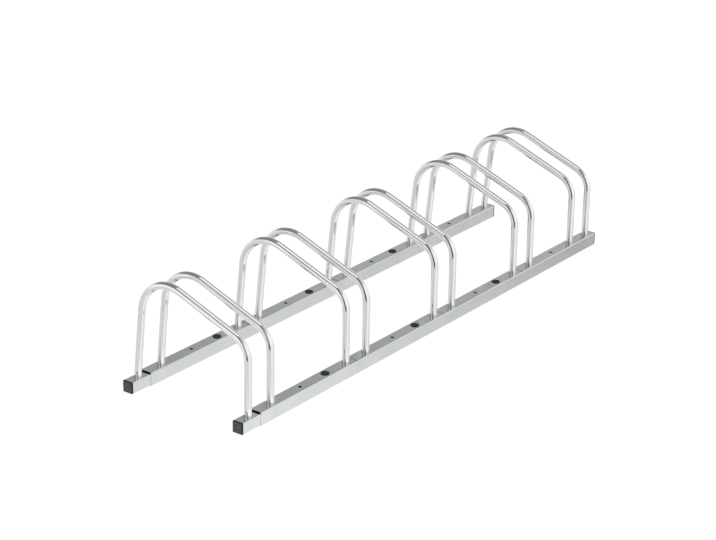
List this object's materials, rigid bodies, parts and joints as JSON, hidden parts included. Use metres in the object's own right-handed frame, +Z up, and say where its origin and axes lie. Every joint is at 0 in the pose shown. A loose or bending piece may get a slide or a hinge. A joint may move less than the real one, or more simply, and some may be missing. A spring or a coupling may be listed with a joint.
{
  "type": "floor bike rack",
  "caption": "Low floor rack for bicycles: paired bent tube hoops with a slot for a wheel between them, standing on two square tube rails.",
  "frame": {"origin": "on the floor, at the centre of the rack's length and width", "axes": "+X along the rails, towards the end without the stub; +Y from the front rail, where the hoops are low, to the rear rail; +Z up"},
  "size_m": [1.3186, 0.32, 0.256],
  "materials": {
    "hoop_steel": "smooth bright zinc plating",
    "rail_steel": "satin galvanised",
    "fastener_steel": "bright zinc plating",
    "black_plastic": "moulded, fine texture"
  },
  "bodies": {
    "root": {"front_rail_section_1": "rail_steel", "front_rail_section_2": "rail_steel", "front_rail_section_3": "rail_steel", "front_rail_section_4": "rail_steel", "front_rail_insert_1": "rail_steel", "front_rail_insert_2": "rail_steel", "front_rail_insert_3": "rail_steel", "front_rail_insert_4": "rail_steel", "front_hole_plug_1": "black_plastic", "front_hole_plug_2": "black_plastic", "front_hole_plug_3": "black_plastic", "front_stub_cap": "black_plastic", "front_end_cap": "black_plastic", "front_leg_bushes": "fastener_steel", "front_leg_screws": "fastener_steel", "rear_rail_section_1": "rail_steel", "rear_rail_section_2": "rail_steel", "rear_rail_section_3": "rail_steel", "rear_rail_section_4": "rail_steel", "rear_rail_insert_1": "rail_steel", "rear_rail_insert_2": "rail_steel", "rear_rail_insert_3": "rail_steel", "rear_rail_insert_4": "rail_steel", "rear_hole_plug_1": "black_plastic", "rear_hole_plug_2": "black_plastic", "rear_hole_plug_3": "black_plastic", "rear_stub_cap": "black_plastic", "rear_end_cap": "black_plastic", "rear_leg_bushes": "fastener_steel", "rear_leg_screws": "fastener_steel", "hoop_1": "hoop_steel", "hoop_2": "hoop_steel", "hoop_3": "hoop_steel", "hoop_4": "hoop_steel", "hoop_5": "hoop_steel", "hoop_6": "hoop_steel", "hoop_7": "hoop_steel", "hoop_8": "hoop_steel", "hoop_9": "hoop_steel", "hoop_10": "hoop_steel"}
  },
  "joints": []
}
